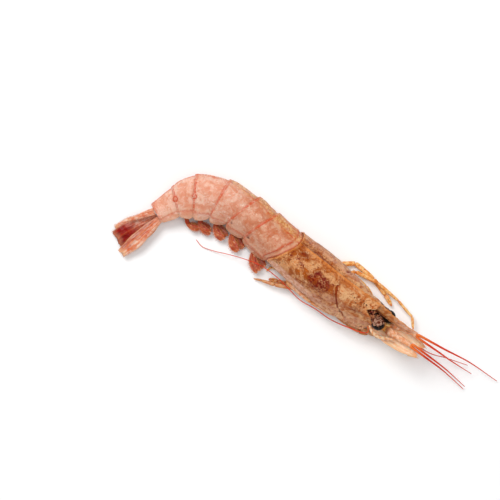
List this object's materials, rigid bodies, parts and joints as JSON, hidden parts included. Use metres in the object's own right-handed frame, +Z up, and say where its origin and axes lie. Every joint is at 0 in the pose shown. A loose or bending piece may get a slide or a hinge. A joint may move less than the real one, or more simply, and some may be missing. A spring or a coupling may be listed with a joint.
{
  "type": "prawn",
  "caption": "Whole raw red prawn with head, legs, feelers and tail fan, lying on its side with the tail curled forward",
  "frame": {"origin": "middle of the bounding box in plan, on the table plane the prawn lies on", "axes": "+X runs along the longest extent towards the feelers, +Y to the back (far) side of the curled abdomen, +Z up out of the right flank"},
  "size_m": [0.1756, 0.0977, 0.0237],
  "materials": {
    "shell": "thin wet translucent shell over pink flesh, soft gloss",
    "carapace": "thin wet shell, tan to brown where the organs show through",
    "tail": "wet translucent blades, red ribs, pale frayed edge",
    "limb": "wet translucent amber limb",
    "swimmeret": "wet red-brown paddle",
    "feeler": "wet red feeler",
    "eye": "wet dark grey eye, black rim"
  },
  "bodies": {
    "root": {"carapace": "carapace", "abdomen_1": "shell", "abdomen_2": "shell", "abdomen_3": "shell", "abdomen_4": "shell", "abdomen_5": "shell", "abdomen_6": "shell", "telson": "tail", "uropod_outer_right": "tail", "uropod_inner_right": "tail", "uropod_inner_left": "tail", "uropod_outer_left": "tail", "eye_right": "eye", "eye_left": "eye", "antennal_scale_right": "limb", "antennal_scale_left": "limb", "antennule_right": "limb", "antennule_left": "limb", "antennule_flagellum_right_1": "feeler", "antennule_flagellum_right_2": "feeler", "antennule_flagellum_left_1": "feeler", "antennule_flagellum_left_2": "feeler", "antenna_right": "feeler", "antenna_left": "feeler", "maxilliped_right": "limb", "maxilliped_left": "limb", "pereopod_1_right": "limb", "pereopod_1_left": "limb", "pereopod_2_right": "limb", "pereopod_2_left": "limb", "pereopod_3_right": "limb", "pereopod_3_left": "limb", "pereopod_4_right": "limb", "pereopod_4_left": "limb", "pereopod_5_right": "limb", "pereopod_5_left": "limb", "pleopod_1_right": "swimmeret", "pleopod_1_left": "swimmeret", "pleopod_2_right": "swimmeret", "pleopod_2_left": "swimmeret", "pleopod_3_right": "swimmeret", "pleopod_3_left": "swimmeret", "pleopod_4_right": "swimmeret", "pleopod_4_left": "swimmeret", "pleopod_5_right": "swimmeret", "pleopod_5_left": "swimmeret"}
  },
  "joints": []
}
